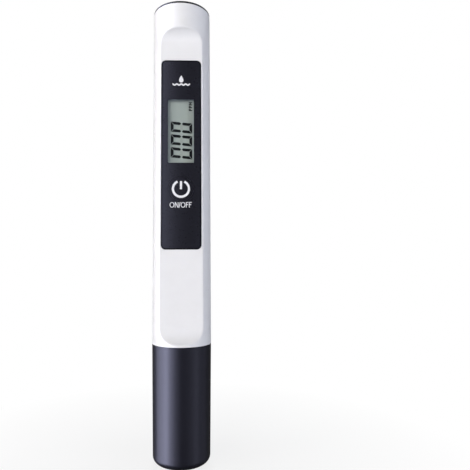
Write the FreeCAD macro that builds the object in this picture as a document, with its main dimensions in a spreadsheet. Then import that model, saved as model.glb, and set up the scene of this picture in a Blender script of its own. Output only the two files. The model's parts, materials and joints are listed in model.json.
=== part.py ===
import FreeCAD, Part
import math
import os
import Sketcher

# A pen-shaped digital water tester that stands on its protective cap. Lengths are in millimetres.
# The origin is the middle of the cap's flat end, +Z runs up the pen and the display faces -Y.
# "front" is a distance in front of the pen's axis, so a face at front 6.7 lies at y = -6.7.

SIZES = {
    # Overall form
    "overall_length": 150.0,
    "seam_radius": 9.72,
    "housing_taper": 0.09,
    "cap_taper": 0.36,
    "seam_height": 37.65,
    "seam_gap": 0.10,
    "seat_gap": 0.04,
    "base_fillet": 2.2,
    # Housing and its flat facet
    "housing_wall": 1.37,
    "facet_depth": 3.0,
    "facet_wall": 1.42,
    "facet_low_rise": 5.85,
    "facet_low_runout": 5.7,
    "facet_top_drop": 12.9,
    "facet_top_runout": 4.2,
    "bore_flat_overrun": 5.2,
    "bore_flat_overlap": 0.46,
    "facet_round": 0.6,
    # Front panel and window
    "panel_drop": 18.9,
    "panel_width": 13.1,
    "panel_length": 62.7,
    "panel_corner": 1.5,
    "panel_thickness": 0.58,
    "panel_recess": 0.5,
    "panel_side_gap": 0.05,
    "panel_edge_round": 0.2,
    "window_drop": 13.0,
    "window_width": 8.75,
    "window_length": 21.4,
    "window_corner": 0.25,
    "window_sunk": 0.03,
    "lens_lip": 0.68,
    # Display stack
    "glass_width": 10.4,
    "glass_margin": 2.3,
    "glass_thickness": 1.1,
    "rear_glass_width": 8.2,
    "reflector_thickness": 0.25,
    "strip_width": 0.9,
    "strip_inset": 0.1,
    "frame_floor": 0.9,
    "frame_wall": 1.0,
    "frame_play": 0.1,
    # Circuit board
    "board_front": 1.7,
    "board_thickness": 1.0,
    "board_width": 13.2,
    "board_corner": 0.8,
    "board_low_rise": 11.0,
    "board_top_drop": 4.0,
    "pad_rise": 0.8,
    "pad_length": 1.8,
    # Chips and small components
    "chip_width": 7.0,
    "chip_thickness": 1.4,
    "memory_width": 3.9,
    "memory_length": 4.9,
    "memory_thickness": 1.5,
    "small_width": 1.6,
    "small_length": 0.8,
    "small_thickness": 0.5,
    "small_spacing": 2.2,
    "small_chip_gap": 0.3,
    "small_row_drop": 12.0,
    "crystal_radius": 1.0,
    "crystal_length": 6.0,
    "crystal_rim": 0.15,
    "crystal_rim_length": 0.4,
    "crystal_edge": 0.3,
    "crystal_drop": 14.0,
    # Key and switch
    "key_below_window": 8.6,
    "key_radius": 3.95,
    "key_play": 0.1,
    "key_flange_radius": 4.9,
    "key_flange_thickness": 0.5,
    "key_post_radius": 1.2,
    "key_travel": 0.3,
    "switch_width": 5.2,
    "switch_thickness": 1.86,
    "switch_floor": 0.4,
    "switch_corner": 0.3,
    "plunger_radius": 1.5,
    "plunger_play": 0.1,
    "plunger_reach": 0.7,
    # Inner frame
    "frame_clearance": 0.25,
    "frame_shell": 0.9,
    "frame_foot_gap": 0.16,
    "rail_inset": 0.2,
    "rail_overlap": 1.05,
    "rail_thickness": 1.3,
    "rib_thickness": 3.2,
    "rib_inset": 3.0,
    "well_floor": 1.0,
    "well_wall": 0.8,
    "well_rim": 0.4,
    "screw_radius": 0.6,
    "screw_head_radius": 1.5,
    "screw_head_height": 0.9,
    "screw_head_edge": 0.4,
    "screw_length": 4.5,
    "screw_tip": 0.6,
    "screw_tip_gap": 0.4,
    # Cells and contacts
    "cell_radius": 5.8,
    "cell_height": 5.4,
    "cell_play": 0.1,
    "cell_top_drop": 6.8,
    "cell_edge": 0.3,
    "cell_rim": 0.9,
    "contact_thickness": 0.3,
    "contact_width": 1.6,
    "contact_offset": 2.6,
    "contact_play": 0.08,
    "contact_disc_inset": 0.6,
    "contact_tail_length": 2.5,
    "strip_contact_width": 1.4,
    "strip_contact_drop": 1.7,
    "strip_contact_offset": 0.2,
    "strip_contact_foot": 3.5,
    "spring_wire_radius": 0.25,
    "spring_low_radius": 2.6,
    "spring_high_radius": 4.4,
    "spring_turns": 2.5,
    # Battery cap
    "flange_thickness": 0.7,
    "flange_inset": 0.03,
    "flange_round": 0.3,
    "plug_length": 5.0,
    "plug_wall": 2.0,
    "plug_play": 0.15,
    "plug_lead_in": 0.3,
    "cap_neck_depth": 0.3,
    "plug_ceiling": 2.1,
    "coin_slot_length": 12.0,
    "coin_slot_width": 1.6,
    "coin_slot_depth": 1.0,
    "cap_ring_radius": 0.4,
    "cap_ring_seat": 0.55,
    "sheet_thickness": 0.25,
    "rivet_radius": 0.8,
    "rivet_head_radius": 1.6,
    "rivet_head_height": 0.46,
    "rivet_cover": 0.4,
    # Probe holder
    "neck_clearance": 0.45,
    "neck_length": 17.75,
    "holder_plug_length": 9.25,
    "holder_play": 0.05,
    "core_wall": 1.7,
    "core_depth": 6.0,
    "guard_radius": 7.6,
    "guard_wall": 1.2,
    "guard_length": 10.5,
    "guard_slot_width": 6.0,
    "guard_slot_corner": 2.8,
    "guard_slot_stop": 1.2,
    "guard_slot_overrun": 3.8,
    "guard_tip_round": 0.4,
    "seal_width": 1.0,
    "seal_depth": 0.6,
    "seal_drop": 2.4,
    "neck_ring_radius": 0.42,
    "neck_ring_drop": 6.7,
    "probe_radius": 0.8,
    "probe_offset": 3.5,
    "probe_play": 0.05,
    "probe_head_radius": 1.3,
    "probe_head_height": 0.6,
    "probe_tail": 2.0,
    "probe_tip_flat": 0.2,
    "probe_tip_gap": 0.5,
    "sensor_radius": 0.95,
    "sensor_offset": 3.2,
    "sensor_floor": 2.0,
    "sensor_tail": 2.6,
    "sensor_tip_flat": 0.25,
    "lead_radius": 0.35,
    "sensor_lead_radius": 0.2,
    "lead_low_run": 4.0,
    "lead_belly": 2.0,
    "sensor_lead_low_run": 2.0,
    # Protective cap
    "cap_wall": 1.27,
    "cap_base_wall": 1.16,
    "cap_floor": 1.6,
    "cap_straight": 17.65,
    "cap_inner_fillet": 1.2,
    "cap_lead_in": 0.25,
}

document = FreeCAD.newDocument("water_tester")
sheet = document.addObject("Spreadsheet::Sheet", "Sizes")
for row, (alias, length) in enumerate(SIZES.items(), start=1):
    sheet.set(f"A{row}", alias)
    sheet.set(f"B{row}", str(length))
    sheet.setAlias(f"B{row}", alias)
document.recompute()


class Size:
    """A length that carries its number and the sheet formula that gives it."""

    def __init__(self, number, formula):
        self.number = number
        self.formula = formula

    def __add__(self, other):
        return Size(self.number + number(other), f"({self.formula} + {formula(other)})")

    def __radd__(self, other):
        return Size(number(other) + self.number, f"({formula(other)} + {self.formula})")

    def __sub__(self, other):
        return Size(self.number - number(other), f"({self.formula} - {formula(other)})")

    def __rsub__(self, other):
        return Size(number(other) - self.number, f"({formula(other)} - {self.formula})")

    def __mul__(self, other):
        return Size(self.number * number(other), f"({self.formula} * {formula(other)})")

    def __rmul__(self, other):
        return self * other

    def __truediv__(self, other):
        return Size(self.number / number(other), f"({self.formula} / {formula(other)})")

    def __neg__(self):
        return Size(-self.number, f"(-{self.formula})")


def number(item):
    return item.number if isinstance(item, Size) else float(item)


def formula(item):
    return item.formula if isinstance(item, Size) else repr(float(item))


class Sheet:
    """Gives each cell of the sheet as a Size, by its alias."""

    def __getattr__(self, alias):
        return Size(float(getattr(sheet, alias)), f"Sizes.{alias}")


s = Sheet()

# Sizes and places that follow from the sheet
bore = s.seam_radius - s.housing_wall
housing_low = s.seam_height + s.seam_gap
housing_top = s.overall_length - s.flange_thickness - s.seat_gap
housing_top_radius = s.seam_radius - s.housing_taper
facet_front = s.seam_radius - s.facet_depth
bore_flat = facet_front - s.facet_wall
facet_low = s.seam_height + s.facet_low_rise
facet_top = s.overall_length - s.facet_top_drop
panel_floor = facet_front - s.panel_recess
panel_top = s.overall_length - s.panel_drop
panel_middle = panel_top - s.panel_length / 2
panel_rear = panel_floor + s.seat_gap
panel_face = panel_rear + s.panel_thickness
window_middle = panel_top - s.window_drop - s.window_length / 2
lens_lip_width = s.window_width + 2 * s.lens_lip
lens_lip_length = s.window_length + 2 * s.lens_lip
key_height = window_middle - s.window_length / 2 - s.key_below_window
glass_front = bore_flat - s.seat_gap
glass_length = s.window_length + 2 * s.glass_margin
rear_glass_front = glass_front - s.glass_thickness - s.seat_gap
reflector_front = rear_glass_front - s.glass_thickness - s.seat_gap
board_rear = s.board_front - s.board_thickness
board_face = s.board_front + s.seat_gap
plug_top = housing_low + s.holder_plug_length
cell_top = s.overall_length - s.cell_top_drop
cell_low = cell_top - 2 * s.cell_height - s.seat_gap
well_seat = cell_low - s.contact_thickness - 2 * s.seat_gap
well_low = well_seat - s.well_floor
frame_radius = bore - s.frame_clearance
strip_contact_front = bore_flat - s.strip_contact_drop
strip_contact_middle = s.cell_radius + s.strip_contact_offset
cell_back = s.cell_radius + s.cell_play + s.well_wall - frame_radius
well_top = cell_top + s.well_rim
board_low = plug_top + s.board_low_rise
board_top = well_low - s.board_top_drop
neck_low = housing_low - s.neck_length
guard_low = neck_low - s.guard_length
core_floor = plug_top - s.core_depth
holder_plug_radius = bore - s.holder_play
holder_flat = bore_flat - s.holder_play
battery_plug_low = housing_top + s.seat_gap - s.plug_length
battery_plug_radius = bore - s.plug_play
battery_bore_top = s.overall_length - s.plug_ceiling
cap_neck = battery_plug_radius - s.cap_neck_depth
cap_ring_middle = cap_neck + s.cap_ring_radius + s.seat_gap
rivet_hole_top = s.overall_length - s.coin_slot_depth - s.rivet_cover
cap_bore = s.seam_radius - s.cap_wall
cap_base_bore = s.seam_radius - s.cap_taper - s.cap_base_wall
neck_radius = cap_bore - s.neck_clearance
neck_ring_middle = cap_bore - 2 * s.seat_gap - s.neck_ring_radius

nodes = []


def keep(part, name):
    """Names a finished sub-part and puts it on the list that is written out."""
    part.Label = name
    nodes.append(part)
    return part


def bind(item, **formulas):
    """Ties properties of an object to the sheet; two underscores stand for a dot."""
    for name, size in formulas.items():
        item.setExpression(name.replace("__", "."), formula(size))


def place(item, across=0, front=0, height=0):
    bind(item, Placement__Base__x=across, Placement__Base__y=0 - front,
         Placement__Base__z=height)


def new_body(name):
    return document.addObject("PartDesign::Body", name)


def new_sketch(body, role, name, offset):
    plane = [item for item in body.Origin.OriginFeatures if item.Role == role][0]
    sketch = body.newObject("Sketcher::SketchObject", name)
    sketch.AttachmentSupport = (plane, "")
    sketch.MapMode = "FlatFace"
    bind(sketch, AttachmentOffset__Base__z=offset)
    return sketch


def front_sketch(body, name, front=0):
    """A sketch that faces the display side: its x runs along +X and its y along +Z."""
    return new_sketch(body, "XZ_Plane", name, front)


def level_sketch(body, name, height=0):
    """A sketch seen from above: its x runs along +X and its y along +Y."""
    return new_sketch(body, "XY_Plane", name, height)


def side_sketch(body, name, across=0):
    """A sketch seen from +X: its x runs along +Y and its y along +Z."""
    return new_sketch(body, "YZ_Plane", name, across)


def dimension(sketch, kind, *place_and_size):
    *where, size = place_and_size
    index = sketch.addConstraint(Sketcher.Constraint(kind, *where, number(size)))
    if isinstance(size, Size):
        sketch.setExpression(f"Constraints[{index}]", size.formula)


def arc_between(start, end, radius):
    """The lesser arc; a positive radius turns left on the way, a negative one right."""
    chord = end - start
    reach = math.sqrt(radius ** 2 - (chord.Length / 2) ** 2)
    left = FreeCAD.Vector(-chord.y, chord.x, 0) / chord.Length
    middle = (start + end) / 2 + left * math.copysign(reach, radius)
    circle = Part.Circle(middle, FreeCAD.Vector(0, 0, 1), abs(radius))
    angles = [math.atan2(point.y - middle.y, point.x - middle.x) for point in (start, end)]
    if radius < 0:
        angles.reverse()
    return Part.ArcOfCircle(circle, *angles)


def outline(sketch, corners):
    """A closed outline. A corner is (x, y), or (x, y, radius) where an arc leads on from it."""
    first = sketch.GeometryCount
    points = [FreeCAD.Vector(number(corner[0]), number(corner[1]), 0) for corner in corners]
    count = len(corners)
    starts, ends, edges = [], [], []
    for index, corner in enumerate(corners):
        start, end = points[index], points[(index + 1) % count]
        turn = number(corner[2]) if len(corner) > 2 else 0
        edges.append(arc_between(start, end, turn) if turn else Part.LineSegment(start, end))
        starts.append(2 if turn < 0 else 1)
        ends.append(1 if turn < 0 else 2)
    sketch.addGeometry(edges, False)
    joints = [
        Sketcher.Constraint("Coincident", first + index, ends[index],
                            first + (index + 1) % count, starts[(index + 1) % count])
        for index in range(count)
    ]
    sketch.addConstraint(joints)
    for index, corner in enumerate(corners):
        dimension(sketch, "DistanceX", first + index, starts[index], corner[0])
        dimension(sketch, "DistanceY", first + index, starts[index], corner[1])
        if len(corner) > 2:
            turn = corner[2] if number(corner[2]) > 0 else -corner[2]
            dimension(sketch, "Radius", first + index, turn)


def rectangle(sketch, middle_x, middle_y, width, length, corner=None):
    """An upright rectangle about its middle, with round corners where a radius is given."""
    left, right = middle_x - width / 2, middle_x + width / 2
    low, high = middle_y - length / 2, middle_y + length / 2
    if corner is None:
        outline(sketch, [(left, low), (right, low), (right, high), (left, high)])
        return
    outline(sketch, [
        (left + corner, low), (right - corner, low, corner),
        (right, low + corner), (right, high - corner, corner),
        (right - corner, high), (left + corner, high, corner),
        (left, high - corner), (left, low + corner, corner),
    ])


def circle(sketch, middle_x, middle_y, radius):
    middle = FreeCAD.Vector(number(middle_x), number(middle_y), 0)
    index = sketch.addGeometry(
        Part.Circle(middle, FreeCAD.Vector(0, 0, 1), number(radius)), False)
    dimension(sketch, "DistanceX", index, 3, middle_x)
    dimension(sketch, "DistanceY", index, 3, middle_y)
    dimension(sketch, "Radius", index, radius)


def flatted_circle(sketch, radius, flat, front_piece=False):
    """A circle about the axis with a flat at a front distance, or only the piece before it."""
    reach = math.sqrt(number(radius) ** 2 - number(flat) ** 2)
    height = -number(flat)
    left, right = FreeCAD.Vector(-reach, height, 0), FreeCAD.Vector(reach, height, 0)
    angles = [math.atan2(height, reach), math.atan2(height, -reach)]
    if front_piece:
        angles.reverse()
    round_side = Part.ArcOfCircle(
        Part.Circle(FreeCAD.Vector(0, 0, 0), FreeCAD.Vector(0, 0, 1), number(radius)), *angles)
    chord = Part.LineSegment(right, left) if front_piece else Part.LineSegment(left, right)
    first = sketch.GeometryCount
    sketch.addGeometry([round_side, chord], False)
    sketch.addConstraint([
        Sketcher.Constraint("Coincident", first, 3, -1, 1),
        Sketcher.Constraint("Coincident", first, 2, first + 1, 1),
        Sketcher.Constraint("Coincident", first + 1, 2, first, 1),
        Sketcher.Constraint("Horizontal", first + 1),
    ])
    dimension(sketch, "Radius", first, radius)
    dimension(sketch, "DistanceY", first + 1, 1, -flat)


def pad(body, sketch, length):
    """Adds material along the sketch's normal: forwards, up or towards +X."""
    feature = body.newObject("PartDesign::Pad", sketch.Name + "_pad")
    feature.Profile = sketch
    bind(feature, Length=length)
    return feature


def pocket(body, sketch, depth):
    """Removes material against the sketch's normal: backwards, down or towards -X."""
    feature = body.newObject("PartDesign::Pocket", sketch.Name + "_pocket")
    feature.Profile = sketch
    bind(feature, Length=depth)
    return feature


def revolve(body, sketch, axis="V_Axis"):
    feature = body.newObject("PartDesign::Revolution", sketch.Name + "_turned")
    feature.Profile = sketch
    feature.ReferenceAxis = (sketch, [axis])
    feature.Angle = 360
    return feature


def groove(body, sketch):
    feature = body.newObject("PartDesign::Groove", sketch.Name + "_groove")
    feature.Profile = sketch
    feature.ReferenceAxis = (sketch, ["V_Axis"])
    feature.Angle = 360
    return feature


def round_edges(body, name, radius, chosen):
    """Rounds the edges of the body's last feature whose middle points are chosen."""
    document.recompute()
    base = body.Tip
    edges = []
    for index, edge in enumerate(base.Shape.Edges, start=1):
        middle = edge.valueAt((edge.FirstParameter + edge.LastParameter) / 2)
        if chosen(middle):
            edges.append(f"Edge{index}")
    feature = body.newObject("PartDesign::Fillet", name)
    feature.Base = (base, edges)
    bind(feature, Radius=radius)
    return feature


def block(name, across, front, height):
    """A box given by its low and high limits along each axis."""
    box = document.addObject("Part::Box", name)
    bind(box, Length=across[1] - across[0], Width=front[1] - front[0],
         Height=height[1] - height[0])
    place(box, across[0], front[1], height[0])
    return box


def group(name, pieces):
    """Several separate solids that share one node."""
    compound = document.addObject("Part::Compound", name)
    compound.Links = pieces
    return compound


# Body of the pen

def make_housing():
    """A tube with a flat facet that runs out in a curve at each end, and a D-shaped bore."""
    body = new_body("housing")
    ring_seat = bore + s.cap_ring_seat
    ring_seat_low = housing_top - 2 * s.cap_ring_radius - s.seat_gap
    wall = front_sketch(body, "housing_wall")
    outline(wall, [
        (bore, housing_low), (s.seam_radius, housing_low), (housing_top_radius, housing_top),
        (ring_seat, housing_top), (ring_seat, ring_seat_low), (bore, ring_seat_low),
    ])
    revolve(body, wall)
    flat = level_sketch(body, "housing_bore_flat", housing_low)
    flatted_circle(flat, bore + s.bore_flat_overlap, bore_flat, front_piece=True)
    pad(body, flat, facet_top + s.bore_flat_overrun - housing_low)
    low_end, high_end = facet_low - s.facet_low_runout, facet_top + s.facet_top_runout
    clear_front = s.seam_radius + s.facet_low_runout
    facet = side_sketch(body, "housing_facet", clear_front)
    outline(facet, [
        (-facet_front, facet_low, -s.facet_low_runout),
        (-(facet_front + s.facet_low_runout), low_end),
        (-clear_front, low_end), (-clear_front, high_end),
        (-(facet_front + s.facet_top_runout), high_end, -s.facet_top_runout),
        (-facet_front, facet_top),
    ])
    pocket(body, facet, 2 * clear_front)

    def on_facet_outline(point):
        outside = math.hypot(point.x, point.y) > number(bore + s.housing_wall / 2)
        between = number(housing_low) + 0.2 < point.z < number(housing_top) - 0.2
        return outside and between and -point.y > number(facet_front) - 0.1

    round_edges(body, "housing_facet_round", s.facet_round, on_facet_outline)
    recess = front_sketch(body, "housing_panel_recess", facet_front)
    rectangle(recess, 0, panel_middle, s.panel_width + 2 * s.panel_side_gap,
              s.panel_length + 2 * s.panel_side_gap, s.panel_corner + s.panel_side_gap)
    pocket(body, recess, s.panel_recess)
    apertures = front_sketch(body, "housing_apertures", panel_floor)
    rectangle(apertures, 0, window_middle, lens_lip_width + 2 * s.panel_side_gap,
              lens_lip_length + 2 * s.panel_side_gap, s.window_corner)
    circle(apertures, 0, key_height, s.key_radius + 2 * s.key_play)
    pocket(body, apertures, s.facet_wall)
    return keep(body, "housing")


def make_front_panel():
    body = new_body("front_panel")
    sheet_outline = front_sketch(body, "panel_outline", panel_rear)
    rectangle(sheet_outline, 0, panel_middle, s.panel_width, s.panel_length, s.panel_corner)
    rectangle(sheet_outline, 0, window_middle, s.window_width, s.window_length, s.window_corner)
    circle(sheet_outline, 0, key_height, s.key_radius + s.key_play)
    pad(body, sheet_outline, s.panel_thickness)

    def on_front_outline(point):
        beside = abs(point.x) > number(s.window_width) / 2 + 0.3
        beyond = abs(point.z - number(panel_middle)) > number(s.panel_length) / 2 - 0.5
        return -point.y > number(panel_face) - 0.01 and (beside or beyond)

    round_edges(body, "panel_edge_round", s.panel_edge_round, on_front_outline)
    return keep(body, "front_panel")


def make_display_window():
    """A clear lens: its raised middle fills the panel's opening, its lip the housing's."""
    body = new_body("display_window")
    lip_rear = bore_flat + s.seat_gap
    lip_front = panel_rear - s.seat_gap
    lip = front_sketch(body, "window_lip", lip_rear)
    rectangle(lip, 0, window_middle, lens_lip_width, lens_lip_length, s.window_corner)
    pad(body, lip, lip_front - lip_rear)
    middle = front_sketch(body, "window_middle", lip_front)
    rectangle(middle, 0, window_middle, s.window_width - s.panel_side_gap,
              s.window_length - s.panel_side_gap, s.window_corner)
    pad(body, middle, panel_face - s.window_sunk - lip_front)
    return keep(body, "display_window")


# Display stack, from the window back to the circuit board

def make_glass_plates():
    height = (window_middle - glass_length / 2, window_middle + glass_length / 2)
    front = (glass_front - s.glass_thickness, glass_front)
    keep(block("lcd_front_plate", (-s.glass_width / 2, s.glass_width / 2), front, height),
         "lcd_front_plate")
    rear = (rear_glass_front - s.glass_thickness, rear_glass_front)
    rear_span = (-s.rear_glass_width / 2, s.rear_glass_width / 2)
    keep(block("lcd_rear_plate", rear_span, rear, height), "lcd_rear_plate")
    foil = (reflector_front - s.reflector_thickness, reflector_front)
    keep(block("lcd_reflector", rear_span, foil, height), "lcd_reflector")


def strip_limits():
    inner = s.rear_glass_width / 2 + s.strip_inset
    return inner, inner + s.strip_width


def make_connector_strips():
    """The pair of springy strips that join the display glass to the board."""
    inner, outer = strip_limits()
    half = glass_length / 2 - s.frame_play
    height = (window_middle - half, window_middle + half)
    front = (board_face, glass_front - s.glass_thickness - s.seat_gap)
    left = block("strip_left", (-outer, -inner), front, height)
    right = block("strip_right", (inner, outer), front, height)
    keep(group("connector_strips", [left, right]), "connector_strips")


def make_display_frame():
    """A shallow tray that holds the glass, with a slot for each connector strip."""
    body = new_body("display_frame")
    tray_front = glass_front
    floor_front = reflector_front - s.reflector_thickness - s.seat_gap
    inner_width = s.glass_width + 2 * s.frame_play
    inner_length = glass_length + 2 * s.frame_play
    outer = front_sketch(body, "tray_outline", board_face)
    rectangle(outer, 0, window_middle, inner_width + 2 * s.frame_wall,
              inner_length + 2 * s.frame_wall, s.board_corner)
    pad(body, outer, tray_front - board_face)
    inside = front_sketch(body, "tray_inside", tray_front)
    rectangle(inside, 0, window_middle, inner_width, inner_length)
    pocket(body, inside, tray_front - floor_front)
    slots = front_sketch(body, "tray_slots", floor_front)
    inner, far = strip_limits()
    for side in (-1, 1):
        rectangle(slots, side * (inner + far) / 2, window_middle, s.strip_width + s.frame_play,
                  glass_length)
    pocket(body, slots, floor_front - board_face)
    return keep(body, "display_frame")


# Circuit board

def rib_heights():
    return board_low + s.rib_inset + s.rib_thickness / 2, board_top - s.rib_inset


def make_main_board():
    body = new_body("main_board")
    shape = front_sketch(body, "board_outline", board_rear)
    rectangle(shape, 0, (board_low + board_top) / 2, s.board_width, board_top - board_low,
              s.board_corner)
    for height in rib_heights():
        circle(shape, 0, height, s.screw_radius + s.frame_clearance)
    pad(body, shape, s.board_thickness)
    return keep(body, "main_board")


def rear_chip(name, middle_x, middle_z, width, length, thickness):
    """A chip on the board's rear face."""
    rear_face = board_rear - s.seat_gap
    return block(name, (middle_x - width / 2, middle_x + width / 2),
                 (rear_face - thickness, rear_face),
                 (middle_z - length / 2, middle_z + length / 2))


def make_chips():
    keep(rear_chip("controller_chip", 0, window_middle, s.chip_width, s.chip_width,
                   s.chip_thickness), "controller_chip")
    keep(rear_chip("memory_chip", 0, key_height, s.memory_width, s.memory_length,
                   s.memory_thickness), "memory_chip")


def make_small_components():
    """Resistors and capacitors: a column each side of the controller, and a row low in front."""
    pieces = []
    beside_chip = (s.chip_width + s.small_width) / 2 + s.small_chip_gap
    for column in (-1, 1):
        for step in range(4):
            height = window_middle + (step - 1.5) * s.small_spacing
            pieces.append(rear_chip(f"small_rear_{column + 1}_{step}", column * beside_chip,
                                    height, s.small_width, s.small_length, s.small_thickness))
    low = key_height - s.small_row_drop
    for step in range(5):
        middle_x = (step - 2) * s.small_spacing
        across = (middle_x - s.small_length / 2, middle_x + s.small_length / 2)
        pieces.append(block(f"small_front_{step}", across,
                            (board_face, board_face + s.small_thickness),
                            (low, low + s.small_width)))
    keep(group("chip_components", pieces), "chip_components")


def make_clock_crystal():
    """A small metal can that lies along the board's rear face."""
    body = new_body("clock_crystal")
    radius, length, edge = s.crystal_radius, s.crystal_length, s.crystal_edge
    rim = radius + s.crystal_rim
    profile = front_sketch(body, "crystal_profile")
    outline(profile, [
        (0, 0), (rim, 0), (rim, s.crystal_rim_length), (radius, s.crystal_rim_length),
        (radius, length - edge), (radius - edge, length), (0, length),
    ])
    revolve(body, profile)
    place(body, 0, board_rear - s.seat_gap - rim, key_height - s.crystal_drop)
    return keep(body, "clock_crystal")


# Power key and its switch

def make_switch_body():
    body = new_body("switch_body")
    case = front_sketch(body, "switch_case", board_face)
    rectangle(case, 0, key_height, s.switch_width, s.switch_width, s.switch_corner)
    pad(body, case, s.switch_thickness)
    case_front = board_face + s.switch_thickness
    well = front_sketch(body, "switch_well", case_front)
    circle(well, 0, key_height, s.plunger_radius + s.plunger_play)
    pocket(body, well, s.switch_thickness - s.switch_floor)
    return keep(body, "switch_body")


def make_switch_plunger():
    body = new_body("switch_plunger")
    tip = board_face + s.switch_thickness + s.plunger_reach
    rear = board_face + s.switch_floor + s.key_travel + 3 * s.seat_gap
    stem = front_sketch(body, "plunger_stem", rear)
    circle(stem, 0, key_height, s.plunger_radius)
    pad(body, stem, tip - rear)
    return keep(body, "switch_plunger")


def make_power_key():
    """A round key: its face fills the panel's hole and a flange holds it behind the wall."""
    body = new_body("power_key")
    flange_front = bore_flat - s.seat_gap
    flange_rear = flange_front - s.key_flange_thickness
    plunger_tip = board_face + s.switch_thickness + s.plunger_reach
    post = front_sketch(body, "key_post", plunger_tip + s.seat_gap)
    circle(post, 0, key_height, s.key_post_radius)
    pad(body, post, flange_front - plunger_tip - s.seat_gap)
    flange = front_sketch(body, "key_flange", flange_rear)
    circle(flange, 0, key_height, s.key_flange_radius)
    pad(body, flange, s.key_flange_thickness)
    face = front_sketch(body, "key_face", flange_front)
    circle(face, 0, key_height, s.key_radius)
    pad(body, face, panel_face - flange_front)
    return keep(body, "power_key")


# Inner frame, screws, cells and contacts

def make_inner_frame():
    """A half-round trough with rails and ribs under the board, and a well for the cells."""
    body = new_body("inner_frame")
    trough_low = plug_top + s.frame_foot_gap
    trough = level_sketch(body, "trough_outside", trough_low)
    flatted_circle(trough, frame_radius, s.board_front)
    pad(body, trough, well_low - trough_low)
    hollow = level_sketch(body, "trough_inside", well_low)
    flatted_circle(hollow, frame_radius - s.frame_shell, s.board_front + s.board_thickness)
    pocket(body, hollow, well_low - trough_low)
    rails = front_sketch(body, "board_rails", board_rear - s.rail_thickness)
    rail_out = frame_radius - s.frame_shell / 2 - s.rail_inset
    rail_in = s.board_width / 2 - s.rail_overlap
    for side in (-1, 1):
        rectangle(rails, side * (rail_out + rail_in) / 2, (board_low + board_top) / 2,
                  rail_out - rail_in, board_top - board_low)
    pad(body, rails, s.rail_thickness)
    for index, height in enumerate(rib_heights()):
        rib = level_sketch(body, f"rib_{index}", height - s.rib_thickness / 2)
        flatted_circle(rib, frame_radius - s.frame_shell / 2, board_rear)
        pad(body, rib, s.rib_thickness)
    pilots = front_sketch(body, "screw_pilots", board_rear)
    for height in rib_heights():
        circle(pilots, 0, height, s.screw_radius + s.seat_gap)
    pocket(body, pilots, s.screw_length)
    well = level_sketch(body, "well_outside", well_low)
    flatted_circle(well, frame_radius, holder_flat)
    pad(body, well, well_top - well_low)
    cell_hole = level_sketch(body, "well_inside", well_top)
    circle(cell_hole, 0, -cell_back, s.cell_radius + s.cell_play)
    pocket(body, cell_hole, well_top - well_seat)
    slots = level_sketch(body, "contact_slots", well_top)
    slot_depth = s.contact_thickness + 2 * s.contact_play
    rectangle(slots, strip_contact_middle, -strip_contact_front + s.contact_thickness / 2,
              s.strip_contact_width + 2 * s.contact_play, slot_depth)
    rectangle(slots, -s.contact_offset, -(board_face + s.contact_thickness / 2),
              s.contact_width + 2 * s.contact_play, slot_depth)
    pocket(body, slots, well_top - well_low)
    channel_depth = s.contact_thickness + s.contact_play
    channel = level_sketch(body, "contact_channel", well_seat + channel_depth)
    channel_front = board_face + s.contact_thickness + s.contact_play
    rectangle(channel, -s.contact_offset, -(channel_front + cell_back) / 2,
              s.contact_width + 2 * s.contact_play, channel_front - cell_back)
    pocket(body, channel, channel_depth)
    return keep(body, "inner_frame")


def make_board_screws():
    """Two pan-head screws that hold the board to the frame's ribs."""
    screws = []
    head_rear = board_face
    tip = board_rear - s.screw_length + s.screw_tip_gap
    for index, height in enumerate(rib_heights()):
        body = new_body(f"board_screw_{index}")
        profile = side_sketch(body, f"screw_profile_{index}")
        head_front = head_rear + s.screw_head_height
        outline(profile, [
            (-head_front, 0), (-head_front, s.screw_head_radius - s.screw_head_edge),
            (-(head_front - s.screw_head_edge), s.screw_head_radius),
            (-head_rear, s.screw_head_radius), (-head_rear, s.screw_radius),
            (-(tip + s.screw_tip), s.screw_radius), (-tip, 0),
        ])
        revolve(body, profile, "H_Axis")
        place(body, 0, 0, height)
        screws.append(body)
    keep(group("board_screws", screws), "board_screws")


def make_button_cells():
    """Two button cells, one on the other: a can with a smaller cap and an insulating groove."""
    edge, rim = s.cell_edge, s.cell_rim
    for name, low in (("button_cell_lower", cell_low),
                      ("button_cell_upper", cell_low + s.cell_height + s.seat_gap)):
        body = new_body(name)
        profile = front_sketch(body, name + "_profile")
        radius, height = s.cell_radius, s.cell_height
        outline(profile, [
            (0, 0), (radius - edge, 0), (radius, edge), (radius, height - 2 * edge),
            (radius - edge, height - edge), (radius - rim, height - edge),
            (radius - rim, height - 1.5 * edge), (radius - rim - edge, height - 1.5 * edge),
            (radius - rim - 1.5 * edge, height), (0, height),
        ])
        revolve(body, profile)
        place(body, 0, cell_back, low)
        keep(body, name)


def make_well_contact():
    """A sprung plate under the lower cell, with a tail down to the board's front."""
    body = new_body("well_contact")
    low = well_seat + s.seat_gap
    disc = level_sketch(body, "contact_disc", low)
    circle(disc, 0, -cell_back, s.cell_radius - s.contact_disc_inset)
    pad(body, disc, s.contact_thickness)
    arm = level_sketch(body, "contact_arm", low)
    front_end, rear_end = board_face + s.contact_thickness, cell_back
    rectangle(arm, -s.contact_offset, -(front_end + rear_end) / 2, s.contact_width,
              front_end - rear_end)
    pad(body, arm, s.contact_thickness)
    tail_low = board_top - s.contact_tail_length
    tail = front_sketch(body, "contact_tail", board_face)
    rectangle(tail, -s.contact_offset, (tail_low + low + s.contact_thickness) / 2,
              s.contact_width, low + s.contact_thickness - tail_low)
    pad(body, tail, s.contact_thickness)
    return keep(body, "well_contact")


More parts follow.
